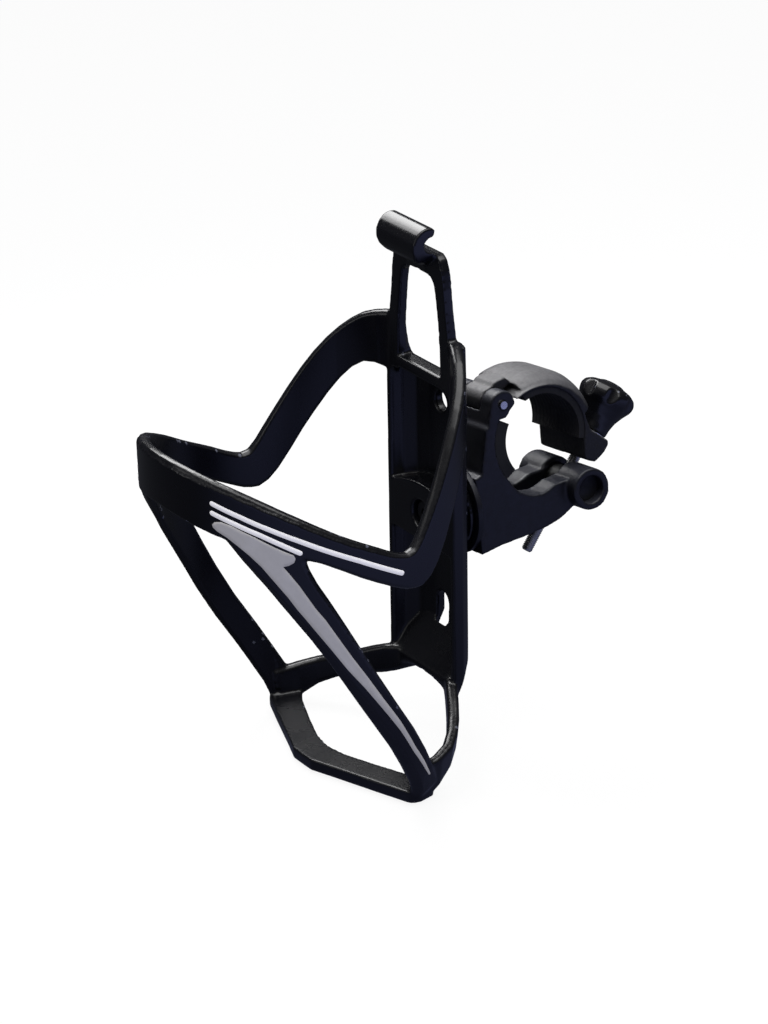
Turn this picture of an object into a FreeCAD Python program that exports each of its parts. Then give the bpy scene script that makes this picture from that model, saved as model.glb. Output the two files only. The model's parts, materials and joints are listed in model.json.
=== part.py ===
import FreeCAD, Part
import math
import os

# Bottle cage with a swivelling clamp that holds it to a tube.
# Origin: on the bottle axis (Z), at the height of the clamp pivot.  +Y points from
# the bottle to the tube, X runs along the tube before the clamp is tilted.
# "Inner" means towards the bottle.  Lengths in mm, angles in degrees.

V = FreeCAD.Vector
os.makedirs("parts", exist_ok=True)

# ---------------------------------------------------------------- shared dimensions
RUN = 0.05                  # running clearance

# Bottle cage
CAGE_R = 37.5               # inside radius, for a 74 mm bottle
WALL = 3.2                  # wall of band and struts
FOOT_CAGE_R = 33.0          # inside radius at the foot
FOOT_Z = -59.0              # underside of the foot
FOOT_T = 3.2
TAPER_Z = -20.0             # the struts curve inwards below this height
RAIL_X = 15.5               # half width of the rail
CHANNEL_X = 13.4            # half width of the channel in the rail
RAIL_INNER_Y = 33.2         # inner edges of the rail
LEG_OUTER_Y = 35.8
WEB_INNER_Y = 39.5
WEB_OUTER_Y = 42.4
RAIL_TOP = 39.6
LEAN = 1.2                  # the rail leans in towards the bottle foot
TAB_X = 8.8                 # half width of the top tab
BOSS_HOLE_R = 5.2 / 2       # bottle boss hole, M5 clearance
BOSS_HOLE_Z = 29.0
SLOT_Z = -30.1              # centre of the lower slot
SLOT_L = 15.0               # overall length of the lower slot

# Pivot
REST_TILT = -7.0            # clamp turned about the pivot (Y axis)
DISC_R = 12.2
DISC_Y0 = WEB_OUTER_Y
DISC_Y1 = 44.0
PIVOT_R = 2.0
PIVOT_HOLE_R = 2.2
HEAD_Y = 34.0               # inner face of the screw head
WASHER_Y = 36.1             # washer, between the screw head and its recess floor
WASHER_SEAT_Y = 36.6
LUG_X = 7.5                 # lugs that key the swivel base to the cage
LUG_R = 1.45
NUT_POCKET_Y = 48.6

# Clamp; centres are (y, z)
TUBE_R = 11.1               # 22.2 mm tube
TUBE = (65.3, 14.7)
HINGE = (54.2, 25.6)
TRUNNION = (76.1, -1.1)     # axis of the barrel nut
KNUCKLE_R = 3.6
KNUCKLE_CLEAR_R = KNUCKLE_R + 0.35
PIN_R = 1.0
CLAMP_X = 9.5               # half width of the clamp
CLAMP_FOOT_Y = DISC_Y1 + RUN
BOSS_R = 5.4                # bosses around the barrel nut
BOSS_X = 13.0
BARREL_R = 3.5
BARREL_X = 10.2
PAD_T = 1.6
BACK_PAD_T = 3.2
PAD_GAP = 0.02
PAD_INSET = 0.4             # pad ends stand in from the clamp sides
JAW_IN_R = TUBE_R + PAD_T
JAW_OUT_R = 13.4
CROWN_R = 16.4              # greatest radius of the rounded jaw
JAW_X0 = -12.6              # -X end of the upper jaw
BACK_SEAT_R = TUBE_R + BACK_PAD_T

# Bolt and knob; heights run along the bolt from the barrel axis
BOLT_DIR = (0.635, 0.77251)     # unit direction in (y, z)
BOLT_R = 1.5
BOLT_TIP = 20.6             # length below the barrel axis
BOLT_HEAD_H0 = 20.6
BOLT_HEAD_H1 = 23.0
SEAT_H = 13.4               # jaw seat
WASHER_H0 = 13.5
WASHER_H1 = 14.2
KNOB_H0 = WASHER_H1 + RUN
KNOB_H1 = KNOB_H0 + 13.0
KNOB_R = 7.6
CAP_POCKET_R = 3.7
CAP_POCKET_H = 24.0


# ---------------------------------------------------------------- helpers
def wire(points):
    return Part.makePolygon(list(points) + [points[0]])


def loft(sections):
    return Part.makeLoft([wire(section) for section in sections], True, True)


def prism_yz(points, x0, x1):
    return Part.Face(wire([V(x0, y, z) for y, z in points])).extrude(V(x1 - x0, 0, 0))


def prism_xy(points, z0, z1):
    return Part.Face(wire([V(x, y, z0) for x, y in points])).extrude(V(0, 0, z1 - z0))


def prism_xz(points, y0, y1):
    return Part.Face(wire([V(x, y0, z) for x, z in points])).extrude(V(0, y1 - y0, 0))


def cyl_x(radius, x0, x1, centre):
    return Part.makeCylinder(radius, x1 - x0, V(x0, *centre), V(1, 0, 0))


def cyl_y(radius, y0, y1, x=0, z=0):
    return Part.makeCylinder(radius, y1 - y0, V(x, y0, z), V(0, 1, 0))


def cyl_z(radius, z0, z1, x=0, y=0):
    return Part.makeCylinder(radius, z1 - z0, V(x, y, z0))


def turned(profile):
    """Turn a (radius, z) profile about Z."""
    face = Part.Face(wire([V(radius, 0, z) for radius, z in profile]))
    return face.revolve(V(0, 0, 0), V(0, 0, 1), 360)


def fuse(shapes):
    return shapes[0].multiFuse(shapes[1:]).removeSplitter()


def mirrored(half):
    """Close a half outline with its mirror image in the first coordinate."""
    return half + [(-x, y) for x, y in reversed(half) if x]


def hexagon(corner_r):
    angles = [math.radians(60 * i) for i in range(6)]
    return [(corner_r * math.cos(a), corner_r * math.sin(a)) for a in angles]


def tube_point(radius, angle):
    """(y, z) at a radius and angle about the tube axis, angle from +Y towards +Z."""
    a = math.radians(angle)
    return (TUBE[0] + radius * math.cos(a), TUBE[1] + radius * math.sin(a))


def tube_arc(radius, start, end, steps):
    return [tube_point(radius, start + (end - start) * i / steps) for i in range(steps + 1)]


def seat_point(across, along=SEAT_H):
    """(y, z) at distances across and along the bolt from the barrel axis."""
    dir_y, dir_z = BOLT_DIR
    return (TRUNNION[0] + dir_y * along + dir_z * across,
            TRUNNION[1] + dir_z * along - dir_y * across)


def bottle_point(angle, radius, z):
    """Point about the bottle axis, angle from +Y towards +X."""
    a = math.radians(angle)
    return V(radius * math.sin(a), radius * math.cos(a), z)


def interpolate(table, position):
    """Smooth cubic through (position, value) pairs that never overshoots them."""
    if position <= table[0][0]:
        return table[0][1]
    if position >= table[-1][0]:
        return table[-1][1]
    slopes = [(y1 - y0) / (x1 - x0) for (x0, y0), (x1, y1) in zip(table, table[1:])]
    i = next(k for k in range(len(slopes)) if position <= table[k + 1][0])
    (x0, y0), (x1, y1) = table[i:i + 2]

    def tangent(neighbour):
        if neighbour * slopes[i] <= 0:
            return 0.0
        return 2 * neighbour * slopes[i] / (neighbour + slopes[i])

    start = tangent(slopes[max(i - 1, 0)])
    end = tangent(slopes[min(i + 1, len(slopes) - 1)])
    width = x1 - x0
    t = (position - x0) / width
    return (
        y0 * (2 * t**3 - 3 * t**2 + 1)
        + y1 * (3 * t**2 - 2 * t**3)
        + width * start * (t**3 - 2 * t**2 + t)
        + width * end * (t**3 - t**2)
    )


def tilted(shape):
    """Turn a clamp piece about the pivot to its rest angle."""
    placed = shape.copy()
    placed.rotate(V(0, 0, 0), V(0, 1, 0), REST_TILT)
    return placed


def on_bolt_axis(shape):
    """Move a piece modelled along +Z from the origin onto the bolt axis."""
    placed = shape.copy()
    angle = math.degrees(math.atan2(*BOLT_DIR))
    placed.rotate(V(0, 0, 0), V(1, 0, 0), -angle)
    placed.translate(V(0, *TRUNNION))
    return placed


def export(shape, name):
    # Repair a boolean result that does not pass the validity test.
    if not shape.isValid():
        shape.fix(1e-4, 1e-4, 1e-4)
    shape.exportStep("parts/%s.step" % name)


# ---------------------------------------------------------------- cage: band
# (angle, z) along the edges of the band
BAND_TOP = [
    (20, 50.2), (25, 49.9), (33, 48.6), (38.7, 46.6), (47.3, 42.0), (56, 35.6),
    (64.5, 27.6), (73.5, 18.4), (78.8, 13.2), (82.7, 11.0), (87.3, 11.7),
    (94.3, 14.1), (101.4, 16.5), (111.5, 20.0), (120.8, 23.5), (130, 26.5),
    (139, 29.1), (147, 30.9), (155, 32.2), (163.7, 33.3), (172, 33.9), (180, 34.1),
]
BAND_BOTTOM = [
    (20, 34.4), (25, 34.7), (30, 35.3), (35.5, 35.0), (40.5, 32.8), (46.7, 28.4),
    (52.9, 22.8), (61.2, 14.6), (67.4, 8.0), (73.8, 2.8), (78.8, 1.2), (83.4, 1.6),
    (88.5, 3.0), (97.4, 6.0), (104.8, 8.7), (110, 10.7), (117.9, 13.2),
    (125, 14.4), (135, 15.9), (145, 17.2), (151, 18.0), (160, 19.2), (167, 20.1),
    (174.5, 20.7), (180, 20.9),
]
# Angles of the loft sections on one side
BAND_ANGLES = [
    20, 25, 30, 35, 40, 45, 50, 55, 60, 65, 70, 74, 78, 81, 84, 87, 91, 96, 102,
    109, 116, 123, 130, 138, 146, 154, 162, 171,
]


def band_section(angle, side):
    top = interpolate(BAND_TOP, angle)
    bottom = interpolate(BAND_BOTTOM, angle)
    edge = 0.8
    bevel = 1.7 if angle > 88 else 0.8
    # The wings move inwards where they join the rail.
    inset = 1.1 * max(0.0, min(1.0, (46.0 - angle) / 18.0))
    r0 = CAGE_R - inset
    r1 = CAGE_R + WALL - inset
    outline = [
        (r0 + edge, bottom), (r1 - edge, bottom), (r1, bottom + edge), (r1, top - bevel),
        (r1 - edge, top), (r0 + edge, top), (r0, top - edge), (r0, bottom + edge),
    ]
    return [bottle_point(angle * side, radius, z) for radius, z in outline]


def make_band():
    sections = [band_section(angle, 1) for angle in BAND_ANGLES + [180]]
    sections += [band_section(angle, -1) for angle in reversed(BAND_ANGLES)]
    return loft(sections)


# ---------------------------------------------------------------- cage: struts
# Edge nearer the rail, edge farther from it, each (angle, z), from the top down
STRUT = [
    ((123, 19.0), (154, 22.5)),
    ((121.5, 14.6), (150.8, 18.2)),
    ((119.8, 10.8), (143.5, 12.6)),
    ((117.2, 7.0), (135.6, 6.6)),
    ((113.6, 2.8), (127.8, -0.4)),
    ((109.8, -1.9), (120.8, -7.0)),
    ((104.0, -9.4), (114.0, -14.2)),
    ((98.2, -17.0), (107.8, -21.6)),
    ((90.2, -27.0), (99.6, -31.2)),
    ((82.2, -36.0), (92.0, -39.6)),
    ((76.2, -43.0), (86.6, -46.0)),
    ((71.0, -49.0), (81.4, -52.2)),
    ((67.0, -54.5), (78.2, -57.5)),
]
MM_PER_DEGREE = 0.70        # rough arc length, used for the strut width


def strut_inside_r(z):
    t = max(0.0, (TAPER_Z - z) / (TAPER_Z - FOOT_Z))
    return CAGE_R - (CAGE_R - FOOT_CAGE_R) * t * t


def strut_section(near, far, side):
    (angle0, z0), (angle1, z1) = near, far
    width = math.hypot((angle1 - angle0) * MM_PER_DEGREE, z1 - z0)
    edge = 0.8 / width
    bevel = min(0.35, 2.3 / width)

    def point(across, height):
        angle = angle0 + (angle1 - angle0) * across
        z = z0 + (z1 - z0) * across
        return bottle_point(side * angle, strut_inside_r(z) + height, z)

    outline = [
        point(edge, 0), point(0.5, 0), point(1 - edge, 0),
        point(1, 0.8), point(1, WALL - 1.3), point(1 - bevel, WALL),
        point(0.45, WALL), point(edge, WALL), point(0, WALL - 0.8), point(0, 0.8),
    ]
    # Flatten the section into the plane through its two edges.
    origin = point(0, 0)
    normal = (point(1, 0) - origin).cross(point(0.5, 10.0) - point(0.5, 0))
    normal.normalize()
    return [corner - normal * (corner - origin).dot(normal) for corner in outline]


def make_strut(side):
    return loft([strut_section(near, far, side) for near, far in STRUT])


# ---------------------------------------------------------------- cage: lower ring
RING_T = 3.0
# (angle, outside radius at the lower edge)
RING_R = [
    (0, 37.4), (11, 37.1), (21, 36.2), (31, 35.7), (42, 36.1), (50, 36.7),
    (58.8, 37.3), (66, 36.9), (72, 36.2), (80, 35.8),
]
# (angle, z) along the edges of the ring
RING_TOP = [
    (0, -40.2), (12, -40.3), (20, -40.4), (28.8, -41.3), (39.5, -44.0),
    (56.6, -47.2), (69.5, -48.8), (80, -49.5),
]
RING_BOTTOM = [
    (0, -43.2), (5, -43.6), (11, -44.8), (16, -46.2), (21, -47.6), (27, -48.8),
    (33, -49.6), (42, -50.9), (50.4, -52.4), (58.8, -54.6), (66, -57.2), (72, -58.9),
    (80, -59.0),
]
# Angles of the loft sections from the middle to one end
RING_ANGLES = [0, 5, 11, 16, 21, 27, 34, 42, 50, 58, 66, 72, 77]


def ring_section(angle):
    top = interpolate(RING_TOP, abs(angle))
    bottom = interpolate(RING_BOTTOM, abs(angle))
    edge = 0.7
    low_r = interpolate(RING_R, abs(angle))
    high_r = low_r + 0.3 + 0.022 * max(0.0, abs(angle) - 30.0)
    outline = [
        (low_r - RING_T + edge, bottom), (low_r - edge, bottom), (low_r, bottom + edge),
        (high_r, top - edge), (high_r - edge, top), (high_r - RING_T + edge, top),
        (high_r - RING_T, top - edge), (low_r - RING_T, bottom + edge),
    ]
    return [bottle_point(angle, radius, z) for radius, z in outline]


def make_ring():
    angles = [-angle for angle in reversed(RING_ANGLES[1:])] + RING_ANGLES
    return loft([ring_section(angle) for angle in angles])


# ---------------------------------------------------------------- cage: foot
# (x, y) half outline of the flat V-shaped bar under the bottle
FOOT_HALF = [
    (0, -4.6), (4.2, -4.5), (12, -1.7), (24, 2.4), (33.8, 5.9), (34.8, 7.2), (35.0, 9.0),
    (33.8, 13.2), (31.0, 14.2), (27, 11.9), (16, 7.6), (6.5, 4.2), (0, 3.2),
]


def make_foot():
    return prism_xy(mirrored(FOOT_HALF), FOOT_Z, FOOT_Z + FOOT_T)


# ---------------------------------------------------------------- cage: rail, legs, hook
# (x, y) half outlines of the rail and of the channel on its inner side
RAIL_HALF = [
    (RAIL_X - 0.5, RAIL_INNER_Y), (RAIL_X, RAIL_INNER_Y + 0.6), (RAIL_X, 35.8),
    (13.9, 38.2), (10.6, 40.4), (6, 41.9), (0, WEB_OUTER_Y),
]
CHANNEL_HALF = [
    (CHANNEL_X, 30), (CHANNEL_X, 33.9), (12.5, 36.3), (9.4, 38.7), (5, WEB_INNER_Y),
    (0, WEB_INNER_Y),
]
# (y, z) line of the sloping lower end of the rail
SLOPE = [
    (42.8, -27.5), (41.6, -30.0), (39.6, -34.0), (37.4, -38.3), (34.9, -43.0),
    (33.8, -46.0), (33.6, -50.0),
]
# (y, z) outline cut from the outer side at the rail top
TOP_SLOPE = [
    (37.6, RAIL_TOP + 1), (37.6, RAIL_TOP), (39.0, 38.2), (40.8, 34.8), (42.0, 30.0),
    (43.0, 25.0), (50, 25.0), (50, RAIL_TOP + 1),
]
# (x, z) half outline of the arch under the rail
BOTTOM_ARCH_HALF = [
    (-30, -50), (-20, -48.5), (-15.5, -47.4), (-13.4, -46.2), (-11, -44.9), (-8, -43.8),
    (-4, -43.0), (0, -42.8),
]
# (x, z) half outlines of the legs above the rail and the window between them
LEG_HALF = [
    (15.0, 38.0), (14.8, 46.0), (13.7, 50.5), (12.6, 57.0), (11.9, 63.0), (11.0, 67.4),
    (9.9, 70.0), (TAB_X - 0.6, 71.2), (0, 71.2),
]
WINDOW_HALF = [
    (9.7, RAIL_TOP), (9.4, 48.0), (8.6, 54.5), (7.8, 60.2), (7.1, 63.2), (5.8, 64.7),
    (3.0, 65.1), (0, 65.2),
]
# (y, z) outline of the gussets where the legs grow out of the rail walls
GUSSET = [
    (33.2, 36), (33.2, 50), (35.8, 50), (36.3, 46), (37.0, 42.0), (37.9, RAIL_TOP),
    (37.9, 36),
]
# (y, z) outline of the hooked tab
HOOK = [
    (35.8, 65.6), (35.8, 68.2), (35.2, 69.9), (34.0, 71.1), (32.4, 71.7), (30.9, 72.1),
    (30.1, 72.9), (29.8, 73.9), (30.2, 74.9), (31.2, 75.6), (32.3, 75.9), (33.0, 76.6),
    (33.0, 77.5), (32.3, 78.2), (30.8, 78.4), (29.2, 77.9), (27.8, 76.7), (26.9, 74.9),
    (26.7, 72.9), (27.3, 70.9), (28.6, 69.3), (30.8, 68.3), (32.6, 67.6), (33.2, 65.6),
]
# (x, z) outline of the rounding at the lower corners of the tab, +X side
HOOK_CORNER = [
    (TAB_X + 1, 65.0), (TAB_X + 1, 71.8), (TAB_X, 71.8), (TAB_X - 0.8, 69.8),
    (TAB_X - 2.6, 68.2), (TAB_X - 4.8, 67.4), (TAB_X - 4.8, 65.0),
]
# (x, y) outline of the webs that tie the wings to the rail, +X side
ROOT_WEB = [
    (12.5, 33.8), (12.5, 37.4), (14.0, 37.6), (16.4, 37.0), (17.6, 36.4), (16.2, 33.9),
    (14, 34.2),
]


def make_rail():
    channel = mirrored(CHANNEL_HALF)
    # The channel is split around the pivot, where the rail stays solid.
    arch = [(x, 5.2 + 3.2 * math.cos(x * math.pi / 2 / 15))
            for x in (-14, -10, -6, -3, 0, 3, 6, 10, 14)]
    pivot_block = prism_xz([(-20, -7)] + arch + [(20, -7)], 20, 60)
    upper = prism_xy(channel, 0, 36.6).cut(pivot_block)
    lower = prism_xy(channel, -41.4, 0).cut(pivot_block)
    slope = prism_yz([(50, -26)] + SLOPE + [(50, -50)], -30, 30)
    # The channel floor follows the slope, so a wall remains behind it.
    channel_slope = [(y - 2.1, z + 0.4) for y, z in SLOPE]
    inner_slope = prism_yz([(50, -23.5)] + channel_slope + [(50, -50)], -30, 30)
    top_slope = prism_yz(TOP_SLOPE, -30, 30)
    bottom_arch = prism_xz(mirrored(BOTTOM_ARCH_HALF), 20, 60)
    rail = prism_xy(mirrored(RAIL_HALF), -48.0, RAIL_TOP)
    return rail.cut([upper, lower.cut(inner_slope), slope, top_slope, bottom_arch])


def make_legs():
    legs = prism_xz(mirrored(LEG_HALF), RAIL_INNER_Y, LEG_OUTER_Y)
    return legs.cut(prism_xz(mirrored(WINDOW_HALF), 20, 60))


def make_gussets():
    rail_outline = prism_xy(mirrored(RAIL_HALF), 30, 80)
    return [prism_yz(GUSSET, x0, x1).common(rail_outline)
            for x0, x1 in ((-15.0, -9.9), (9.9, 15.0))]


def make_hook():
    corners = [prism_xz([(side * x, z) for x, z in HOOK_CORNER], 20, 33.15)
               for side in (-1, 1)]
    return prism_yz(HOOK, -TAB_X, TAB_X).cut(corners)


def make_spine():
    spine = fuse([make_rail(), make_legs()] + make_gussets() + [make_hook()])
    spine.rotate(V(0, RAIL_INNER_Y, 20), V(1, 0, 0), -LEAN)
    return spine


def make_lower_slot():
    reach = SLOT_L / 2 - BOSS_HOLE_R
    middle = Part.makeBox(2 * BOSS_HOLE_R, 22, 2 * reach,
                          V(-BOSS_HOLE_R, 38, SLOT_Z - reach))
    return fuse([
        cyl_y(BOSS_HOLE_R, 38, 60, z=SLOT_Z + reach),
        cyl_y(BOSS_HOLE_R, 38, 60, z=SLOT_Z - reach),
        middle,
    ])


def make_cage():
    root_webs = [prism_xy([(side * x, y) for x, y in ROOT_WEB], 35.4, 49.4)
                 for side in (-1, 1)]
    pivot_boss = cyl_y(10.6, 41.0, WEB_OUTER_Y)
    cage = fuse([make_band(), make_strut(1), make_strut(-1), make_ring(), make_foot(),
                 make_spine(), pivot_boss] + root_webs)
    boss_hole = cyl_y(BOSS_HOLE_R, 34, 60, z=BOSS_HOLE_Z)
    pivot_hole = cyl_y(PIVOT_HOLE_R, 30, 60)
    head_recess = cyl_y(3.9, 30, WASHER_SEAT_Y)
    lug_holes = [cyl_y(LUG_R + RUN, 39.0, 60, x=x) for x in (LUG_X, -LUG_X)]
    return cage.cut([boss_hole, make_lower_slot(), pivot_hole, head_recess] + lug_holes)


# ---------------------------------------------------------------- pivot
def make_swivel_base():
    """Disc with two lugs and a ring of radial grooves on its clamp side."""
    lugs = [cyl_y(LUG_R, 39.2, DISC_Y0 + 1, x=x) for x in (LUG_X, -LUG_X)]
    base = fuse([cyl_y(DISC_R, DISC_Y0, DISC_Y1)] + lugs)
    base = base.cut([cyl_y(PIVOT_HOLE_R, 40, 60)])
    groove_count = 24
    groove_start_r = 8.0
    grooves = []
    for i in range(groove_count):
        a = math.radians(i * 360 / groove_count)
        start = V(groove_start_r * math.sin(a), DISC_Y1, groove_start_r * math.cos(a))
        grooves.append(Part.makeCylinder(0.35, 4.0, start, V(math.sin(a), 0, math.cos(a))))
    return base.cut(grooves)


def make_pivot_screw():
    head = cyl_y(3.6, HEAD_Y, WASHER_Y)
    rim = [edge for edge in head.Edges
           if abs(edge.BoundBox.YMax - HEAD_Y) < 1e-6 and edge.BoundBox.YLength < 1e-6]
    socket = prism_xz(hexagon(1.45), 33.4, 35.4)
    return fuse([head.makeFillet(0.8, rim), cyl_y(PIVOT_R, 36.0, 52.4)]).cut(socket)


def make_pivot_washer():
    return cyl_y(3.8, WASHER_Y, WASHER_SEAT_Y).cut(cyl_y(2.15, 35, 38))


def make_pivot_nut():
    nut = prism_xz(hexagon(4.04), NUT_POCKET_Y + RUN, 51.8)
    return nut.cut(cyl_y(PIVOT_R + RUN, 47, 55))


# ---------------------------------------------------------------- clamp body
# (y, z) outline below the tube, from the pivot disc to the trunnion
BODY_LOWER = [
    (CLAMP_FOOT_Y, -11.5), (46.4, -11.1), (50.0, -10.4), (58.0, -9.7), (64.0, -9.0),
    (68.0, -7.9), (71.5, -6.2), (73.6, -4.4), (76.2, -4.6), (77.0, 1.0), (73.5, 2.2),
]
# (angle, radius) about the tube axis, on from the end of the pad seat
BODY_SEAT = [
    (228, 14.7), (235, 15.0), (243, 15.1), (252, 15.0), (262, 14.7), (271, 14.0),
    (280, 13.2),
]
# (y, z) outline from the hinge side back down to the pivot disc
BODY_UPPER = [
    (51.6, 23.0), (50.4, 22.3), (48.6, 20.4), (47.0, 13.0), (46.0, 9.0),
    (CLAMP_FOOT_Y, 8.6),
]
# (y, z) outlines at the hinge and of the slot the bolt swings in
KNUCKLE_WEB = [(49.0, 19.6), (50.5, 25.4), (52.0, 27.0), (54.6, 24.0), (53.2, 20.6)]
JAW_GAP = [(50.4, 26.6), (54.0, 32.0), (60, 30), (58.2, 22.6), (55.0, 21.6)]
BOLT_SLOT = [(54.0, -20), (54.0, 4.6), (60.0, 5.4), (90, 6), (90, -20)]
JAW_GAP_X = 4.6             # half width of the hinge gap in the body


def make_jaw_clearance():
    """Space around the tube for the upper jaw, leaving the hinge knuckle whole."""
    tube_y, tube_z = TUBE
    sector = prism_yz([TUBE, (tube_y - 20, tube_z + 13.4), (tube_y - 20, tube_z + 60),
                       (tube_y + 60, tube_z + 60), (tube_y + 60, tube_z - 6)], -30, 30)
    space = cyl_x(CROWN_R + 0.5, -30, 30, TUBE).common(sector)
    return space.cut(cyl_x(KNUCKLE_R, -30, 30, HINGE))


def make_clamp_body():
    seat = tube_arc(BACK_SEAT_R, 148, 222, 14)
    seat += [tube_point(radius, angle) for angle, radius in BODY_SEAT]
    profile = BODY_LOWER + seat[::-1] + BODY_UPPER
    bosses = fuse([cyl_x(BOSS_R, 3.4, BOSS_X, TRUNNION),
                   cyl_x(BOSS_R, -BOSS_X, -3.4, TRUNNION)])
    body = fuse([
        cyl_y(9.4, CLAMP_FOOT_Y, 46.6),
        prism_yz(profile, -CLAMP_X, CLAMP_X),
        cyl_x(KNUCKLE_R, -CLAMP_X, CLAMP_X, HINGE),
        prism_yz(KNUCKLE_WEB, -CLAMP_X, CLAMP_X),
        bosses,
    ])
    body = body.cut([
        prism_yz(BOLT_SLOT, -2.9, 2.9),
        cyl_x(KNUCKLE_CLEAR_R, -JAW_GAP_X, JAW_GAP_X, HINGE),
        prism_yz(JAW_GAP, -JAW_GAP_X, JAW_GAP_X),
        cyl_x(PIN_R + 0.02, -20, 20, HINGE),
        cyl_x(BARREL_R + RUN, -20, 20, TRUNNION),
        cyl_y(PIVOT_HOLE_R, 40, 55.5),
        prism_xz(hexagon(4.1), NUT_POCKET_Y, 56.5),
    ])
    tube_cut = cyl_x(JAW_IN_R, -30, 30, TUBE)
    pad_zone = prism_yz(tube_arc(BACK_SEAT_R, 148.5, 222, 14) + [TUBE], -30, 30)
    return body.cut([tube_cut, pad_zone, make_jaw_clearance()])


def make_lower_pad():
    """Pad in the body's seat; it stops one arc step short of 221 degrees."""
    profile = tube_arc(BACK_SEAT_R - PAD_GAP, 150, 221, 14)[:-1] + [TUBE]
    pad = prism_yz(profile, -CLAMP_X + PAD_INSET, CLAMP_X - PAD_INSET)
    return pad.cut(cyl_x(TUBE_R, -20, 20, TUBE))


# ---------------------------------------------------------------- upper jaw
JAW_KNUCKLE_X = 4.4         # half width of the jaw knuckle
# (across, along) the bolt: the end of the jaw that the knob bears on
JAW_SEAT = [
    (-6.4, SEAT_H), (0.2, SEAT_H), (0.8, 12.6), (0.9, 11.4), (0.5, 9.2), (-0.3, 6.9),
    (-2.2, 6.3), (-3.6, 6.2),
]
JAW_SLOT = [(-2.6, 4), (-2.6, 22), (12, 22), (12, 4)]
# (x, radius) section of the rounded outside of the jaw
CROWN = [
    (JAW_X0, JAW_IN_R), (JAW_X0, JAW_OUT_R + 0.6), (JAW_X0 + 1.2, 15.2),
    (JAW_X0 + 3.0, 16.0), (JAW_X0 + 5.0, CROWN_R), (CLAMP_X - 6.5, CROWN_R),
    (CLAMP_X - 4.0, 15.8), (CLAMP_X - 1.5, 14.7), (CLAMP_X, JAW_OUT_R), (CLAMP_X, JAW_IN_R),
]
# (y, z) outline joining the knuckle to the jaw
JAW_WEB = [(54.2, 29.2), (57.6, 27.6), (60.4, 29.0), (58.6, 31.0), (55.4, 30.2)]


def make_crown():
    crown = Part.Face(wire([V(x, TUBE[0], TUBE[1] + radius) for x, radius in CROWN]))
    crown.rotate(V(0, *TUBE), V(1, 0, 0), 23)
    crown = crown.revolve(V(0, *TUBE), V(1, 0, 0), -96)
    crown.translate(V(0, 1.2, -0.4))
    return crown


def make_upper_jaw():
    profile = tube_arc(JAW_OUT_R, 122, 14, 20)
    profile += [seat_point(across, along) for across, along in JAW_SEAT]
    profile += tube_arc(JAW_IN_R, -18, 118, 26)
    body_knuckles = [cyl_x(KNUCKLE_CLEAR_R, JAW_KNUCKLE_X, 20, HINGE),
                     cyl_x(KNUCKLE_CLEAR_R, -20, -JAW_KNUCKLE_X, HINGE)]
    jaw = fuse([
        prism_yz(profile, JAW_X0 + 1.2, CLAMP_X).cut(body_knuckles),
        make_crown().cut(body_knuckles),
        cyl_x(KNUCKLE_R, -JAW_KNUCKLE_X, JAW_KNUCKLE_X, HINGE),
        prism_yz(JAW_WEB, -JAW_KNUCKLE_X, JAW_KNUCKLE_X),
    ])
    bolt_slot = prism_yz([seat_point(across, along) for across, along in JAW_SLOT], -2.6, 2.6)
    return jaw.cut([
        bolt_slot,
        cyl_x(BOSS_R + 0.4, -30, 30, TRUNNION),
        cyl_x(JAW_IN_R, -30, 30, TUBE),
        cyl_x(PIN_R + RUN, -20, 20, HINGE),
    ])


def make_upper_pad():
    sector = prism_yz(tube_arc(JAW_IN_R + 2, -15, 112, 20) + [TUBE],
                      JAW_X0 + 0.2, CLAMP_X - PAD_INSET)
    pad = sector.common(cyl_x(JAW_IN_R - PAD_GAP, -20, 20, TUBE))
    return pad.cut(cyl_x(TUBE_R, -20, 20, TUBE))


# ---------------------------------------------------------------- hinge pin and clip
def make_hinge_pin():
    groove = cyl_x(PIN_R + 0.2, -CLAMP_X - 0.75, -CLAMP_X - 0.25, HINGE).cut(
        cyl_x(PIN_R - 0.3, -CLAMP_X - 0.8, -CLAMP_X - 0.2, HINGE))
    return cyl_x(PIN_R, -CLAMP_X - 1.2, CLAMP_X + 0.5, HINGE).cut(groove)


def make_hinge_clip():
    """Open ring in the groove of the pin, its mouth towards +Z."""
    hinge_y, hinge_z = HINGE
    mouth = [(hinge_y - 0.7, hinge_z), (hinge_y + 0.7, hinge_z),
             (hinge_y + 1.2, hinge_z + 4), (hinge_y - 1.2, hinge_z + 4)]
    return cyl_x(2.1, -CLAMP_X - 0.72, -CLAMP_X - 0.28, HINGE).cut([
        cyl_x(PIN_R - 0.28, -CLAMP_X - 1, -CLAMP_X, HINGE),
        prism_yz(mouth, -CLAMP_X - 1, -CLAMP_X),
    ])


# ---------------------------------------------------------------- barrel, bolt, knob
# (radius, height) profiles
KNOB_PROFILE = [
    (0, KNOB_H0), (4.3, KNOB_H0), (4.6, KNOB_H0 + 0.4), (4.7, KNOB_H0 + 2.2),
    (5.2, KNOB_H0 + 4.4), (6.2, KNOB_H0 + 6.6), (7.3, KNOB_H0 + 8.4),
    (KNOB_R, KNOB_H0 + 9.4), (KNOB_R, KNOB_H0 + 10.4), (7.0, KNOB_H0 + 11.6),
    (5.6, KNOB_H0 + 12.5), (3.7, KNOB_H1), (0, KNOB_H1),
]
CAP_R = CAP_POCKET_R - RUN
CAP_H0 = CAP_POCKET_H + RUN
CAP_PROFILE = [
    (0, CAP_H0), (CAP_R, CAP_H0), (CAP_R, KNOB_H1), (2.8, KNOB_H1 + 0.4),
    (1.6, KNOB_H1 + 0.6), (0, KNOB_H1 + 0.7),
]
FLUTE_COUNT = 7
FLUTE_CENTRE_R = 8.9


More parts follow.
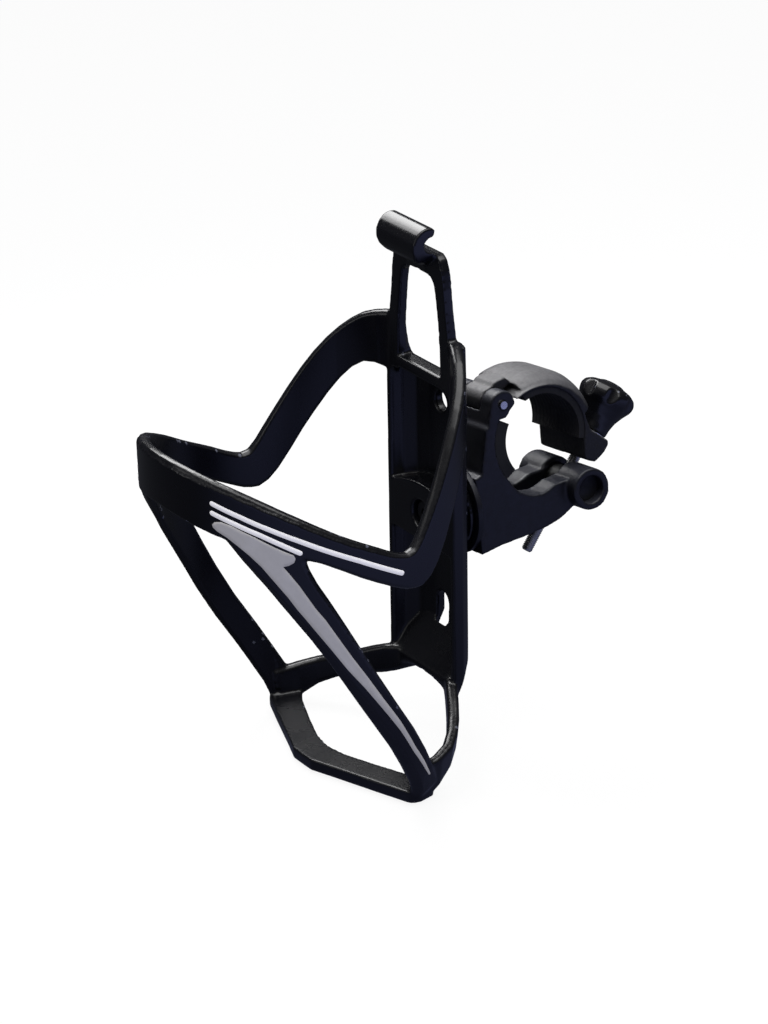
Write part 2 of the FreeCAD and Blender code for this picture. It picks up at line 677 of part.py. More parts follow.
def make_barrel_nut():
    barrel = cyl_x(BARREL_R, -BARREL_X, BARREL_X, TRUNNION)
    return barrel.cut(on_bolt_axis(cyl_z(BOLT_R + RUN, -10, 10)))


def make_clamp_bolt():
    shank = cyl_z(BOLT_R, -BOLT_TIP, BOLT_HEAD_H1)
    tip = [edge for edge in shank.Edges
           if abs(edge.BoundBox.ZMax + BOLT_TIP) < 1e-6 and edge.BoundBox.ZLength < 1e-6]
    head = prism_xy(hexagon(3.2), BOLT_HEAD_H0, BOLT_HEAD_H1)
    return fuse([shank.makeChamfer(0.5, tip), head])


def make_knob_washer():
    return cyl_z(4.4, WASHER_H0, WASHER_H1).cut(cyl_z(BOLT_R + 0.15, 12, 17))


def make_knob():
    flutes = []
    for i in range(FLUTE_COUNT):
        a = 2 * math.pi * (i + 0.5) / FLUTE_COUNT
        flutes.append(cyl_z(2.2, KNOB_H0 + 4.0, KNOB_H0 + 24.0,
                            x=FLUTE_CENTRE_R * math.cos(a), y=FLUTE_CENTRE_R * math.sin(a)))
    head_pocket_h = BOLT_HEAD_H0 - RUN
    return turned(KNOB_PROFILE).cut(flutes).cut([
        cyl_z(BOLT_R + 0.03, 12, 32),
        prism_xy(hexagon(3.23), head_pocket_h, head_pocket_h + 10),
        cyl_z(CAP_POCKET_R, CAP_POCKET_H, CAP_POCKET_H + 10),
    ])


def make_knob_cap():
    return turned(CAP_PROFILE)


# ---------------------------------------------------------------- export
FIXED_PARTS = {
    "cage": make_cage,
    "swivel_base": make_swivel_base,
    "pivot_screw": make_pivot_screw,
    "pivot_washer": make_pivot_washer,
}
TILTED_PARTS = {
    "clamp_body": make_clamp_body,
    "pivot_nut": make_pivot_nut,
    "lower_pad": make_lower_pad,
    "upper_jaw": make_upper_jaw,
    "upper_pad": make_upper_pad,
    "hinge_pin": make_hinge_pin,
    "hinge_clip": make_hinge_clip,
    "barrel_nut": make_barrel_nut,
}
BOLT_PARTS = {
    "clamp_bolt": make_clamp_bolt,
    "knob_washer": make_knob_washer,
    "knob": make_knob,
    "knob_cap": make_knob_cap,
}

for name, make in FIXED_PARTS.items():
    export(make(), name)
for name, make in TILTED_PARTS.items():
    export(tilted(make()), name)
for name, make in BOLT_PARTS.items():
    export(tilted(on_bolt_axis(make())), name)
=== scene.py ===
"""Bottle cage with a hinged tube clamp, tightened by a knob on a threaded bolt.

The bottle's axis is Z. Angles round it are in degrees from +Y, and the cage is
treated alike on its +X and -X sides. Sizes are in mm and scaled by MM to metres.
"""
import json
import math
import bpy
import bmesh
import numpy as np
from mathutils import Vector, Matrix
from mathutils.bvhtree import BVHTree


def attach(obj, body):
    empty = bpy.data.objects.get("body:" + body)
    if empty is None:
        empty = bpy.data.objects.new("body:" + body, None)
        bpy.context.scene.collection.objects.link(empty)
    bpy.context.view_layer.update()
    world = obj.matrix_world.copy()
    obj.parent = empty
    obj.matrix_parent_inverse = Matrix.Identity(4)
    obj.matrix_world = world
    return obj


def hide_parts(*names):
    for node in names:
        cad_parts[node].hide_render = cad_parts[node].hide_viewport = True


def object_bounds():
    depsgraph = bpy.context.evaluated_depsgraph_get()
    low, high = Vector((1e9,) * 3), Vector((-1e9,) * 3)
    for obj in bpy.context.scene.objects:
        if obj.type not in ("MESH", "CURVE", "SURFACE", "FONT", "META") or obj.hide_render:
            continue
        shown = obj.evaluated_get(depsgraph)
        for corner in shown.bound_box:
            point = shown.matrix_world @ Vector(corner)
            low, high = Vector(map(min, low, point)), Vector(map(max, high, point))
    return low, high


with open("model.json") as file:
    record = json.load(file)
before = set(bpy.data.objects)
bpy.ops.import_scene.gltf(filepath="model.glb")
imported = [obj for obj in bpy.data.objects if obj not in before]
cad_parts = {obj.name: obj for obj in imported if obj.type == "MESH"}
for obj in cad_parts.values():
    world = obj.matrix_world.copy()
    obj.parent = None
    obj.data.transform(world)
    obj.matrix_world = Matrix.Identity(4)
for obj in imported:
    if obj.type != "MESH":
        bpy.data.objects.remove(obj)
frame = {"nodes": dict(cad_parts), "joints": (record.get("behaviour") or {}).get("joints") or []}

MM = 0.001
cad_low, cad_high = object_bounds()
nodes = frame["nodes"]
scene = bpy.context.scene


# ------------------------------------------------------------------ shader graphs
class Graph:
    """An emptied node tree of a material or world."""

    def __init__(self, owner):
        owner.use_nodes = True
        self.tree = owner.node_tree
        for node in list(self.tree.nodes):
            self.tree.nodes.remove(node)

    def fill(self, node, inputs):
        """Link sockets and store plain values; colours are given as RGB."""
        for key, value in inputs.items():
            socket = node.inputs[key]
            if isinstance(value, bpy.types.NodeSocket):
                self.tree.links.new(value, socket)
            else:
                socket.default_value = (*value, 1.0) if socket.type == "RGBA" else value

    def node(self, kind, inputs=None, **settings):
        node = self.tree.nodes.new("ShaderNode" + kind)
        for key, value in settings.items():
            setattr(node, key, value)
        self.fill(node, inputs or {})
        return node

    def ramp(self, factor, values, places=(0.3, 0.7)):
        """Colour ramp through greys or RGB values at the given places."""
        node = self.node("ValToRGB", {0: factor})
        elements = node.color_ramp.elements
        while len(elements) < len(values):
            elements.new(0.5)
        for element, place, value in zip(elements, places, values):
            element.position = place
            rgb = value if isinstance(value, tuple) else (value, value, value)
            element.color = (*rgb, 1.0)
        return node.outputs[0]

    def mix(self, factor, first, second, mode="MIX"):
        node = self.node("Mix", {0: factor, 6: first, 7: second},
                         data_type="RGBA", blend_type=mode)
        return node.outputs[2]

    def mix_shader(self, factor, first, second):
        return self.node("MixShader", {0: factor, 1: first, 2: second}).outputs[0]


class Material(Graph):
    """A principled material textured in object space; texture scales are per metre."""

    def __init__(self, name):
        self.data = bpy.data.materials.new(name)
        super().__init__(self.data)
        self.output = self.node("OutputMaterial")
        self.surface = self.node("BsdfPrincipled")
        self.fill(self.output, {0: self.surface.outputs[0]})
        self.coords = self.node("TexCoord").outputs["Object"]

    def noise(self, scale, detail=4.0, roughness=0.55, vector=None):
        return self.node("TexNoise", {
            "Scale": scale, "Detail": detail, "Roughness": roughness,
            "Vector": vector or self.coords}).outputs["Fac"]

    def bump(self, height, strength, distance, under=None):
        """Bump normal, laid over another one if given."""
        inputs = {"Strength": strength, "Distance": distance, "Height": height}
        if under is not None:
            inputs["Normal"] = under
        return self.node("Bump", inputs).outputs[0]

    def paint_edge_highlight(self, colour, highlight_colour, places):
        # Painted edge highlight: the colour is lightened on sharp convex edges, where pointiness
        # is high.
        pointiness = self.node("NewGeometry").outputs["Pointiness"]
        return self.mix(self.ramp(pointiness, (0.0, 1.0), places), colour, highlight_colour)

    def finish(self, **inputs):
        """Set the surface inputs, named with underscores for spaces."""
        self.fill(self.surface, {key.replace("_", " "): v for key, v in inputs.items()})
        return self.data


def gloss_plastic(name, colours, roughness, ripple):
    mat = Material(name)
    colour = mat.ramp(mat.noise(scale=60.0, detail=3.0), colours)
    # painted highlight along the edges
    colour = mat.paint_edge_highlight(colour, (0.130, 0.138, 0.175), places=(0.550, 0.610))
    fine = mat.noise(scale=500.0, detail=2.0)
    smear = mat.noise(scale=70.0, detail=3.0, roughness=0.5)
    rough = mat.ramp(mat.mix(0.85, fine, smear), roughness, places=(0.32, 0.68))
    normal = mat.bump(mat.noise(scale=260.0, detail=2.0), ripple, distance=0.00006)
    normal = mat.bump(mat.noise(scale=3200.0, detail=3.0), strength=0.015,
                      distance=0.00001, under=normal)
    return mat.finish(Base_Color=colour, Roughness=rough, Specular_IOR_Level=0.5,
                      Coat_Weight=0.0, Coat_Roughness=0.06, Normal=normal)


def grain_plastic(name, colours, roughness, grain_scale, grain_strength, painted_top_light=None):
    """Moulded grain with light specks, a painted edge highlight, and an optional painted top
    light that lightens upward faces in patches.
    """
    mat = Material(name)
    light = colours[1]
    colour = mat.ramp(mat.noise(scale=150.0, detail=5.0, roughness=0.65), colours,
                      places=(0.28, 0.72))
    specks = mat.ramp(mat.noise(scale=2600.0, detail=2.0), (0.0, 1.0), places=(0.60, 0.74))
    colour = mat.mix(specks, colour, tuple(x * 1.9 for x in light))
    # painted highlight along the edges
    colour = mat.paint_edge_highlight(colour, tuple(x * 1.7 for x in light), places=(0.54, 0.62))
    # Painted top light: upward faces are lightened towards this colour, broken into patches by
    # noise.
    if painted_top_light is not None:
        normal = mat.node("NewGeometry").outputs["Normal"]
        split = mat.node("SeparateXYZ", {0: normal})
        patches = mat.ramp(mat.noise(scale=900.0, detail=5.0, roughness=0.7),
                           (0.55, 1.0), places=(0.25, 0.75))
        facing_up = mat.ramp(split.outputs["Z"], (0.0, 1.0), places=(0.30, 0.92))
        colour = mat.mix(mat.mix(1.0, facing_up, patches, "MULTIPLY"), colour, painted_top_light)
    rough = mat.ramp(mat.noise(scale=500.0, detail=5.0), roughness)
    cells = mat.node("TexVoronoi", {"Scale": grain_scale, "Vector": mat.coords})
    normal = mat.bump(cells.outputs["Distance"], grain_strength, distance=0.00008)
    normal = mat.bump(mat.noise(scale=700.0), strength=0.18, distance=0.00008, under=normal)
    return mat.finish(Base_Color=colour, Roughness=rough, Normal=normal,
                      Specular_IOR_Level=0.45)


def ribbed_rubber(name):
    mat = Material(name)
    colour = mat.ramp(mat.noise(scale=120.0), ((0.010, 0.010, 0.011), (0.020, 0.020, 0.021)))
    rough = mat.ramp(mat.noise(scale=800.0), (0.62, 0.82))
    ribs = mat.node("TexWave", {"Scale": 190.0, "Distortion": 0.4, "Vector": mat.coords},
                    bands_direction="X")
    normal = mat.bump(ribs.outputs["Fac"], strength=0.35, distance=0.0002)
    normal = mat.bump(mat.noise(scale=2500.0, detail=3.0), strength=0.2,
                      distance=0.00005, under=normal)
    return mat.finish(Base_Color=colour, Roughness=rough, Normal=normal,
                      Specular_IOR_Level=0.3)


def brushed_metal(name, colours, roughness):
    mat = Material(name)
    colour = mat.ramp(mat.noise(scale=260.0, detail=6.0, roughness=0.7), colours)
    # stretched along X, so the brush marks run that way
    stretched = mat.node("Mapping", {"Scale": (300.0, 3800.0, 3800.0), "Vector": mat.coords})
    brush = mat.noise(scale=1.0, detail=3.0, vector=stretched.outputs[0])
    rough = mat.ramp(brush, roughness)
    normal = mat.bump(brush, strength=0.12, distance=0.00003)
    return mat.finish(Base_Color=colour, Roughness=rough, Normal=normal, Metallic=1.0)


def printed_ink(name, colours, roughness, painted_light_colour, painted_light, metallic=0.0):
    mat = Material(name)
    colour = mat.ramp(mat.noise(scale=240.0, detail=5.0), colours)
    rough = mat.ramp(mat.noise(scale=1400.0, detail=3.0), roughness)
    normal = mat.bump(mat.noise(scale=3000.0, detail=2.0), strength=0.10, distance=0.00003)
    # The emission is painted light: it makes the print brighter than the lamps light it.
    return mat.finish(Base_Color=colour, Roughness=rough, Normal=normal, Metallic=metallic,
                      Emission_Color=painted_light_colour, Emission_Strength=painted_light)


CAGE = gloss_plastic(
    "cage_gloss", colours=((0.0020, 0.0021, 0.0034), (0.0032, 0.0034, 0.0056)),
    roughness=(0.24, 0.30), ripple=0.012)
# the upward-face colour given to the body and jaw below is painted top light
BODY = grain_plastic(
    "clamp_satin", colours=((0.0032, 0.0034, 0.0055), (0.0055, 0.0058, 0.0090)),
    roughness=(0.34, 0.46), grain_scale=2200.0, grain_strength=0.14,
    painted_top_light=(0.040, 0.042, 0.056))
JAW = grain_plastic(
    "jaw_grain", colours=((0.0060, 0.0060, 0.0072), (0.0110, 0.0110, 0.0125)),
    roughness=(0.46, 0.60), grain_scale=1500.0, grain_strength=0.5,
    painted_top_light=(0.150, 0.148, 0.156))
KNOB = gloss_plastic(
    "knob_gloss", colours=((0.0030, 0.0031, 0.0042), (0.0050, 0.0052, 0.0070)),
    roughness=(0.22, 0.28), ripple=0.03)
RUBBER = ribbed_rubber("pad_rubber_ribbed")
BARREL = grain_plastic(
    "barrel_black", colours=((0.0015, 0.0015, 0.0017), (0.0030, 0.0030, 0.0034)),
    roughness=(0.5, 0.7), grain_scale=2200.0, grain_strength=0.2)
STEEL = brushed_metal(
    "steel_zinc", colours=((0.50, 0.50, 0.49), (0.66, 0.66, 0.65)), roughness=(0.20, 0.38))
BLACK_STEEL = brushed_metal(
    "steel_black_oxide", colours=((0.050, 0.050, 0.052), (0.085, 0.085, 0.088)),
    roughness=(0.34, 0.50))
# both inks carry painted light as emission, so the print reads brighter than the lamps make it
INK = printed_ink(
    "stripe_ink", colours=((0.36, 0.355, 0.36), (0.43, 0.425, 0.43)),
    roughness=(0.34, 0.5), painted_light_colour=(0.95, 0.93, 0.94), painted_light=0.17, metallic=0.15)
RIM_INK = printed_ink(
    "stripe_rim_ink", colours=((0.80, 0.80, 0.81), (0.88, 0.88, 0.89)),
    roughness=(0.36, 0.5), painted_light_colour=(1.0, 0.98, 0.98), painted_light=0.42)


# ------------------------------------------------------------------ objects
def add_object(name, data):
    ob = bpy.data.objects.new(name, data)
    scene.collection.objects.link(ob)
    return ob


def hand_over(ob, body, slot, *replaced):
    """Parent the object to the empty of the body that carries it, and hide the CAD pieces it
    stands in for.
    """
    ob.data.update()
    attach(ob, body)
    if replaced:
        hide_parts(*replaced)


def bake_modifiers(ob):
    depsgraph = bpy.context.evaluated_depsgraph_get()
    baked = bpy.data.meshes.new_from_object(ob.evaluated_get(depsgraph))
    old = ob.data
    ob.modifiers.clear()
    ob.data = baked
    bpy.data.meshes.remove(old)


def rounded(node, material, voxel, smoothing):
    """Copy of a CAD piece with its edges softened by remeshing and smoothing."""
    ob = add_object(node + "_shell", nodes[node].data.copy())
    remesh = ob.modifiers.new("remesh", "REMESH")
    remesh.mode = "VOXEL"
    remesh.voxel_size = voxel * MM
    remesh.adaptivity = 0.0
    smooth = ob.modifiers.new("smooth", "SMOOTH")
    smooth.factor = 0.5
    smooth.iterations = smoothing
    bake_modifiers(ob)
    mesh = ob.data
    mesh.materials.clear()
    mesh.materials.append(material)
    mesh.polygons.foreach_set("use_smooth", [True] * len(mesh.polygons))
    mesh.update()
    return ob


# ------------------------------------------------------------------ cage walls
INNER_RADIUS = 37.5
WALL = 3.2
OUTER_RADIUS = INNER_RADIUS + WALL
TAPER_TOP, TAPER_HEIGHT, TAPER_DEPTH = -20.0, 39.0, 4.5  # walls draw in below TAPER_TOP
FLAT_DEPTH, FLAT_END, FLAT_SPAN = 1.1, 46.0, 18.0        # and near +Y; angles in degrees
WALL_REACH = 0.42                 # only vertices this near a wall are moved
FACING_LOW, FACING_HIGH = 0.80, 0.96  # how radial a normal must be to count as wall


def vertex_vectors(mesh, attribute):
    values = np.empty(len(mesh.vertices) * 3, np.float32)
    mesh.vertices.foreach_get(attribute, values)
    return values.reshape(-1, 3).astype(float)


def smoothstep(start, end, x):
    t = np.clip((x - start) / (end - start), 0, 1)
    return t * t * (3 - 2 * t)


def true_round_walls(mesh):
    """Pull the inner and outer cage walls back onto true arcs about Z."""
    points = vertex_vectors(mesh, "co") / MM
    normals = vertex_vectors(mesh, "normal")
    x, y, z = points.T
    radius = np.hypot(x, y)
    angle = np.degrees(np.arctan2(np.abs(x), y))
    radial = np.stack([x / radius, y / radius], 1)
    facing = (normals[:, :2] * radial).sum(1)
    taper = np.clip((TAPER_TOP - z) / TAPER_HEIGHT, 0, 1.2)
    flat = FLAT_DEPTH * np.clip((FLAT_END - angle) / FLAT_SPAN, 0, 1)
    inner = INNER_RADIUS - TAPER_DEPTH * taper * taper - flat
    # leave out the part next to +Y, the bottom, and the low part on the +Y side
    is_wall = (angle > 27) & (z > -56) & ~((angle < 76) & (z < -20))
    for target, sign in ((inner + WALL, 1), (inner, -1)):
        weight = smoothstep(FACING_LOW, FACING_HIGH, facing * sign)
        weight = weight * (np.abs(radius - target) < WALL_REACH) * is_wall
        moved = radius + (target - radius) * weight
        points[:, 0] *= moved / radius
        points[:, 1] *= moved / radius
        radius = moved
    mesh.vertices.foreach_set("co", (points * MM).astype(np.float32).ravel())


cage = rounded("cage", CAGE, voxel=0.36, smoothing=7)
true_round_walls(cage.data)
hand_over(cage, "cage", "cage_plastic", "cage")

# CAD piece, material, voxel size, smoothing passes, body, material slot
ROUNDED = (
    ("clamp_body", BODY, 0.33, 9, "clamp", "clamp_plastic"),
    ("upper_jaw", JAW, 0.33, 8, "jaw", "clamp_plastic"),
    ("knob", KNOB, 0.25, 7, "screw", "knob_plastic"),
    ("knob_cap", KNOB, 0.2, 5, "screw", "knob_plastic"),
    ("swivel_base", BODY, 0.25, 3, "cage", "clamp_plastic"),
)
for node, material, voxel, smoothing, body, slot in ROUNDED:
    hand_over(rounded(node, material, voxel, smoothing), body, slot, node)

# CAD pieces kept as they are, with a small bevel
BEVELLED = (
    ("lower_pad", RUBBER), ("upper_pad", RUBBER), ("hinge_pin", STEEL),
    ("hinge_clip", BLACK_STEEL), ("barrel_nut", BARREL), ("knob_washer", STEEL),
    ("pivot_screw", BLACK_STEEL), ("pivot_washer", STEEL), ("pivot_nut", STEEL),
)
for node, material in BEVELLED:
    piece = nodes[node]
    piece.data.materials.clear()
    piece.data.materials.append(material)
    for polygon in piece.data.polygons:
        polygon.material_index = 0
    bevel = piece.modifiers.new("edge", "BEVEL")
    bevel.width = 0.12 * MM
    bevel.segments = 2
    bevel.limit_method = "ANGLE"
    bevel.angle_limit = math.radians(40)

# ------------------------------------------------------------------ threaded clamp bolt
# heights run along the knob's spin axis from its joint
BOLT_TIP, BOLT_TOP = -20.6, 20.6
BOLT_RADIUS = 1.48
PITCH, THREAD_DEPTH = 0.5, 0.28
RINGS_PER_PITCH, BOLT_SIDES = 5, 28
TIP_CHAMFER, TIP_INSET, TIP_SLOPE = 0.5, 0.45, 0.9  # height, inset at the tip, growth
HEAD_HEIGHTS, HEAD_RADIUS = (20.65, 22.95), 3.15    # hexagon, to its corners

spin = next(joint for joint in frame["joints"] if joint["name"] == "knob_spin")
bolt_centre = Vector(spin["pos_m"])
bolt_axis = Vector(spin["axis"]).normalized()
bolt_across = bolt_axis.orthogonal().normalized()
bolt_side = bolt_axis.cross(bolt_across)


def thread_radius(z, k):
    phase = (z / PITCH - k / BOLT_SIDES) % 1.0
    radius = BOLT_RADIUS - THREAD_DEPTH * max(0.0, 1 - abs(phase * 2 - 1) * 1.35)
    if z < BOLT_TIP + TIP_CHAMFER:
        radius = min(radius, BOLT_RADIUS - TIP_INSET + TIP_SLOPE * (z - BOLT_TIP))
    return radius


def bolt_ring(bm, z, radii):
    ring = []
    for k, radius in enumerate(radii):
        angle = 2 * math.pi * k / len(radii)
        offset = (bolt_axis * z + bolt_across * (radius * math.cos(angle))
                  + bolt_side * (radius * math.sin(angle)))
        ring.append(bm.verts.new(bolt_centre + offset * MM))
    return ring


def close_rings(bm, rings):
    """Side faces between the rings and a cap at each end."""
    sides = len(rings[0])
    for low, high in zip(rings, rings[1:]):
        for k in range(sides):
            after = (k + 1) % sides
            bm.faces.new((low[k], low[after], high[after], high[k]))
    bm.faces.new(list(reversed(rings[0])))
    bm.faces.new(rings[-1])


def threaded_bolt():
    bm = bmesh.new()
    length = BOLT_TOP - BOLT_TIP
    ring_count = int(length / (PITCH / RINGS_PER_PITCH)) + 1
    rings = []
    for i in range(ring_count):
        z = BOLT_TIP + length * i / (ring_count - 1)
        rings.append(bolt_ring(bm, z, [thread_radius(z, k) for k in range(BOLT_SIDES)]))
    close_rings(bm, rings)
    close_rings(bm, [bolt_ring(bm, z, [HEAD_RADIUS] * 6) for z in HEAD_HEIGHTS])
    bmesh.ops.recalc_face_normals(bm, faces=bm.faces)
    mesh = bpy.data.meshes.new("bolt_threaded")
    bm.to_mesh(mesh)
    bm.free()
    bolt = add_object("clamp_bolt_threaded", mesh)
    mesh.materials.append(STEEL)
    mesh.polygons.foreach_set("use_smooth", [len(p.vertices) == 4 for p in mesh.polygons])
    hand_over(bolt, "screw", "steel", "clamp_bolt")


threaded_bolt()

# ------------------------------------------------------------------ printed stripes
# The artwork is drawn flat, unrolled at the outer radius, then laid on the wall.
MM_PER_DEGREE = OUTER_RADIUS * math.pi / 180
STRIPE_HALF_WIDTH = 0.62
CAP_STEPS = 8           # steps round a stripe's half-round end
OUTLINE_STEP = 0.6
LONGEST_EDGE = 1.1
RAY_START, RAY_LENGTH = 60, 40
UNDERSIDE = -0.12       # how far the print's lower skin lies inside the wall
RIM_WIDTH = 0.42

# (angle from +Y in degrees, z): centre lines of the two stripes
LONG_STRIPE = [
    (153.2, 27.0), (142.85, 24.7), (132.57, 21.99), (122.69, 19.14),
    (112.86, 15.95), (102.75, 12.64), (93.79, 9.36), (87.25, 6.98),
]
SHORT_STRIPE = [
    (153.37, 24.55), (144.76, 22.7), (136.06, 20.5), (129.39, 18.4), (122.85, 16.15),
]
# (angle from +Y in degrees, z): closed outline of the wedge
WEDGE = [
    (152.6, 22.3), (149.9, 22.7), (145.9, 22.1), (137.8, 19.8), (131.1, 17.5),
    (127.0, 16.2), (125.0, 15.6), (124.4, 14.7), (124.9, 13.7), (126.7, 12.95),
    (128.7, 12.6), (126.2, 10.3), (123.5, 7.6), (118.35, 1.5), (115.3, -1.54),
    (110.71, -7.14), (106.49, -12.3), (101.82, -17.65), (96.16, -24.47),
    (89.56, -31.91), (82.7, -40.62), (77.72, -45.91), (73.4, -50.9), (73.5, -51.3),
    (74.2, -51.0), (76.09, -49.24), (83.04, -42.24), (89.54, -34.54),
    (96.28, -27.42), (102.68, -20.74), (108.38, -15.28), (114.21, -8.97),
    (121.69, -1.28), (124.71, 1.65), (127.56, 4.75), (131.74, 8.56),
    (135.96, 12.3), (140.04, 15.0), (144.18, 17.2), (148.03, 18.95),
    (151.6, 20.1), (153.2, 20.9), (153.5, 21.6),
]

bpy.context.view_layer.update()
cage_tree = BVHTree.FromPolygons([v.co.copy() for v in cage.data.vertices],
                                 [tuple(p.vertices) for p in cage.data.polygons])


def on_wall(side, angle, z, lift):
    """Point lifted off the cage's outer wall; side is 1 for +X, -1 for -X."""
    x = math.sin(math.radians(angle)) * side
    y = math.cos(math.radians(angle))
    start = Vector((x * RAY_START * MM, y * RAY_START * MM, z * MM))
    hit = cage_tree.ray_cast(start, Vector((-x, -y, 0)), RAY_LENGTH * MM)[0]
    if hit is None:
        hit = Vector((x * OUTER_RADIUS * MM, y * OUTER_RADIUS * MM, z * MM))
    return hit + Vector((x, y, 0)) * lift * MM


def stripe_outline(line):
    """Closed outline of a round-ended stripe about a line of (angle, z)."""
    points = [Vector((angle * MM_PER_DEGREE, z)) for angle, z in line]
    left, right = [], []
    for i, point in enumerate(points):
        ahead = points[min(i + 1, len(points) - 1)]
        along = (ahead - points[max(i - 1, 0)]).normalized()
        offset = Vector((-along.y, along.x)) * STRIPE_HALF_WIDTH
        left.append(point + offset)
        right.append(point - offset)

    def round_end(centre, before):
        along = (centre - before).normalized()
        across = Vector((-along.y, along.x))
        turns = [math.pi * k / CAP_STEPS for k in range(1, CAP_STEPS)]
        return [centre + (across * math.cos(t) + along * math.sin(t)) * STRIPE_HALF_WIDTH
                for t in turns]

    outline = (left + round_end(points[-1], points[-2])
               + list(reversed(right)) + round_end(points[0], points[1]))
    return [(p.x / MM_PER_DEGREE, p.y) for p in outline]


def densified(outline):
    points = []
    for (a0, z0), (a1, z1) in zip(outline, outline[1:] + outline[:1]):
        length = math.hypot((a1 - a0) * MM_PER_DEGREE, z1 - z0)
        count = max(1, int(length / OUTLINE_STEP))
        points += [(a0 + (a1 - a0) * i / count, z0 + (z1 - z0) * i / count)
                   for i in range(count)]
    return points


def flat_artwork(outline, inset):
    """Triangulated flat fill of the outline, shrunk by the inset."""
    bm = bmesh.new()
    whole = bm.faces.new([bm.verts.new(Vector((angle * MM_PER_DEGREE, z, 0)))
                          for angle, z in densified(outline)])
    if inset:
        bmesh.ops.inset_region(bm, faces=[whole], thickness=inset, use_even_offset=True)
        # the ring of quads is the rim, which goes
        rim = [face for face in bm.faces if len(face.verts) <= 8]
        bmesh.ops.delete(bm, geom=rim, context="FACES")
        loose = [v for v in bm.verts if not v.link_faces]
        bmesh.ops.delete(bm, geom=loose, context="VERTS")
    bmesh.ops.triangulate(bm, faces=bm.faces[:])
    for _ in range(3):
        long_edges = [edge for edge in bm.edges if edge.calc_length() > LONGEST_EDGE]
        if not long_edges:
            break
        bmesh.ops.subdivide_edges(bm, edges=long_edges, cuts=1)
        bmesh.ops.triangulate(bm, faces=bm.faces[:])
    return bm


def print_on_cage(name, outline, side, lift, material, inset=0.0):
    """Thin closed skin following the wall, with its lower side sunk in the cage."""
    bm = flat_artwork(outline, inset)
    bm.verts.index_update()
    count = len(bm.verts)
    points = [on_wall(side, v.co.x / MM_PER_DEGREE, v.co.y, height)
              for height in (lift, UNDERSIDE) for v in bm.verts]
    top = [[v.index for v in face.verts] for face in bm.faces]
    faces = top + [[i + count for i in reversed(face)] for face in top]
    for edge in bm.edges:
        if len(edge.link_faces) == 1:
            a, b = (v.index for v in edge.verts)
            loop = [v.index for v in edge.link_faces[0].verts]
            if loop[(loop.index(a) + 1) % len(loop)] != b:
                a, b = b, a
            faces.append([b, a, a + count, b + count])
    bm.free()
    mesh = bpy.data.meshes.new(name)
    mesh.from_pydata([tuple(p) for p in points], [], faces)
    bm = bmesh.new()
    bm.from_mesh(mesh)
    bmesh.ops.recalc_face_normals(bm, faces=bm.faces)
    bm.to_mesh(mesh)
    bm.free()
    mesh.materials.append(material)
    mesh.polygons.foreach_set("use_smooth", [i < len(top) for i in range(len(mesh.polygons))])
    hand_over(add_object(name, mesh), "cage", "cage_plastic")


for side, tag in ((1, "a"), (-1, "b")):
    print_on_cage("stripe_long_" + tag, stripe_outline(LONG_STRIPE), side, 0.07, RIM_INK)
    print_on_cage("stripe_short_" + tag, stripe_outline(SHORT_STRIPE), side, 0.07, RIM_INK)
    print_on_cage("wedge_rim_" + tag, WEDGE, side, 0.06, RIM_INK)
    print_on_cage("wedge_fill_" + tag, WEDGE, side, 0.10, INK, inset=RIM_WIDTH)

# ------------------------------------------------------------------ floor and world
FLOOR_CELLS = 24
FLOOR_HALF = 3.0     # metres
FLOOR_GAP = 0.0003   # metres below the lowest CAD point


def floor_paper():
    """White to the camera; other rays see a dim tint, bluer towards +X."""
    mat = Material("floor_paper")
    paper = mat.ramp(mat.noise(scale=4.0, detail=3.0),
                     ((0.90, 0.90, 0.905), (0.93, 0.93, 0.935)))
    mat.finish(Base_Color=paper, Roughness=0.9, Specular_IOR_Level=0.1)
    white = mat.node("Emission", {0: (1, 1, 1), 1: 1.02})
    seen = mat.mix_shader(0.88, mat.surface.outputs[0], white.outputs[0])
    split = mat.node("SeparateXYZ", {0: mat.coords})
    across = mat.node("MapRange", {"From Min": -0.05, "From Max": 0.30,
                                   "Value": split.outputs["X"]})
    tint = mat.ramp(across.outputs[0], ((0.040, 0.042, 0.050), (0.27, 0.30, 0.60)),
                    places=(0.0, 1.0))
    bounce = mat.node("Emission", {0: tint, 1: 1.0})
    to_camera = mat.node("LightPath").outputs["Is Camera Ray"]
    mat.fill(mat.output, {0: mat.mix_shader(to_camera, bounce.outputs[0], seen)})
    return mat.data


def build_floor():
    bm = bmesh.new()
    ticks = [-FLOOR_HALF + 2 * FLOOR_HALF * i / FLOOR_CELLS for i in range(FLOOR_CELLS + 1)]
    grid = [[bm.verts.new((x, y, cad_low.z - FLOOR_GAP)) for y in ticks] for x in ticks]
    for row, after in zip(grid, grid[1:]):
        for k in range(FLOOR_CELLS):
            bm.faces.new((row[k], after[k], after[k + 1], row[k + 1]))
    mesh = bpy.data.meshes.new("floor")
    bm.to_mesh(mesh)
    bm.free()
    floor = add_object("floor", mesh)
    mesh.materials.append(floor_paper())


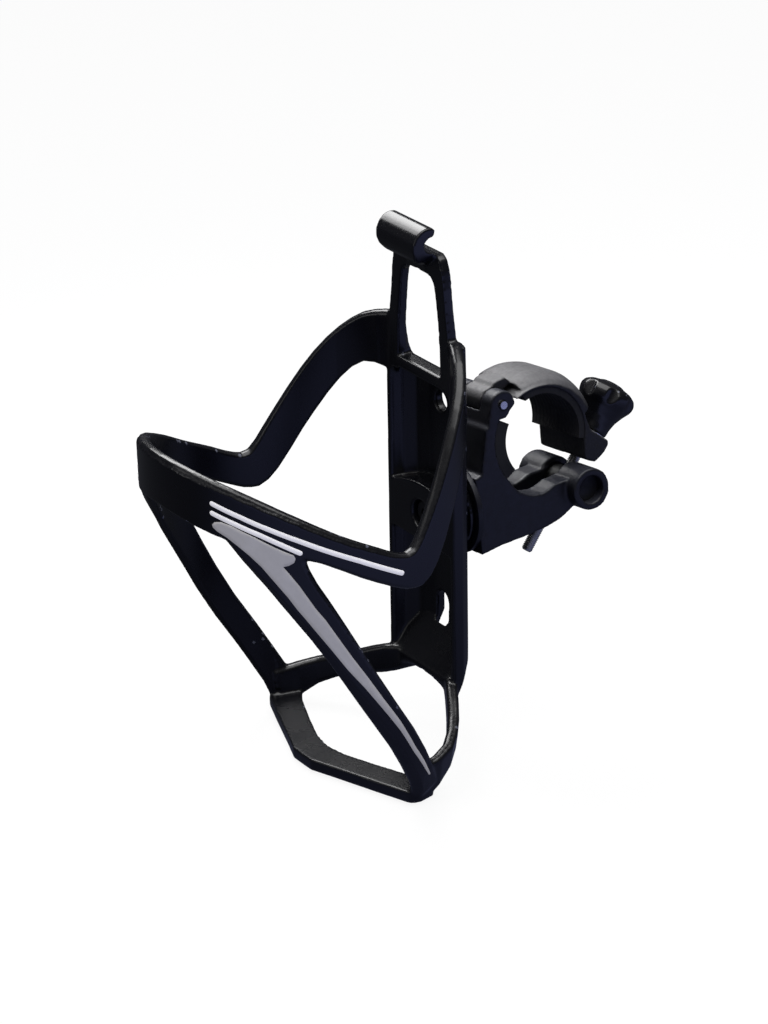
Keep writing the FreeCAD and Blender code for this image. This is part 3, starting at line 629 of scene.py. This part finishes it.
def build_world():
    """White to the camera; a soft grey gradient from horizon to zenith lights the piece."""
    world = bpy.data.worlds.new("studio")
    scene.world = world
    graph = Graph(world)
    output = graph.node("OutputWorld")
    to_camera = graph.node("LightPath").outputs["Is Camera Ray"]
    white = graph.node("Background", {0: (1.0, 1.0, 1.0), 1: 1.0})
    direction = graph.node("TexCoord").outputs["Generated"]
    split = graph.node("SeparateXYZ", {0: direction})
    gradient = graph.ramp(
        split.outputs["Z"],
        ((0.05, 0.052, 0.065), (0.08, 0.082, 0.09), (0.22, 0.22, 0.23), (0.80, 0.80, 0.80)),
        places=(0.0, 0.30, 0.6, 1.0))
    sky = graph.node("Background", {0: gradient, 1: 0.8})
    shown = graph.mix_shader(to_camera, sky.outputs[0], white.outputs[0])
    graph.fill(output, {0: shown})


build_floor()
build_world()

# ------------------------------------------------------------------ lights and camera
# name, place and target in metres, width and height in metres, watts
LIGHTS = (
    ("top_soft", (0.05, 0.05, 0.85), (0, 0.02, 0), (0.9, 0.9), 7.0),
    ("left_near", (-0.21, 0.06, 0.22), (0, 0.03, 0.07), (0.19, 0.13), 0.60),
    ("fill_left", (-0.30, -0.85, 0.30), (0, 0, 0), (0.25, 0.5), 0.5),
)
for name, place, target, size, power in LIGHTS:
    light = bpy.data.lights.new(name, "AREA")
    light.shape = "RECTANGLE"
    light.size, light.size_y = size
    light.energy = power
    lamp = bpy.data.objects.new(name, light)
    lamp.location = place
    lamp.rotation_mode = "QUATERNION"
    lamp.rotation_quaternion = (Vector(target) - Vector(place)).to_track_quat("-Z", "Y")
    scene.collection.objects.link(lamp)

AZIMUTH = math.radians(58.7408)   # from -Y towards +X
ELEVATION = math.radians(23.2310)
ROLL = math.radians(-2.0303)
SHIFT_RIGHT, SHIFT_UP, DISTANCE = 18.7056, 8.4508, 978.433  # along the camera's axes


def build_camera():
    data = bpy.data.cameras.new("cam")
    camera = add_object("cam", data)
    back = Vector((math.sin(AZIMUTH) * math.cos(ELEVATION),
                   -math.cos(AZIMUTH) * math.cos(ELEVATION), math.sin(ELEVATION)))
    level = Vector((math.cos(AZIMUTH), math.sin(AZIMUTH), 0))
    upright = back.cross(level)
    right = level * math.cos(ROLL) + upright * math.sin(ROLL)
    up = -level * math.sin(ROLL) + upright * math.cos(ROLL)
    place = (right * SHIFT_RIGHT + up * SHIFT_UP + back * DISTANCE) * MM
    turn = Matrix((right, up, back)).transposed().to_4x4()
    camera.matrix_world = Matrix.Translation(place) @ turn
    data.sensor_fit = "AUTO"
    data.sensor_width = 36.0
    data.lens = 139.41914
    data.clip_start, data.clip_end = 0.05, 20.0
    scene.camera = camera


build_camera()
scene.view_settings.view_transform = "Standard"
scene.view_settings.look = "None"
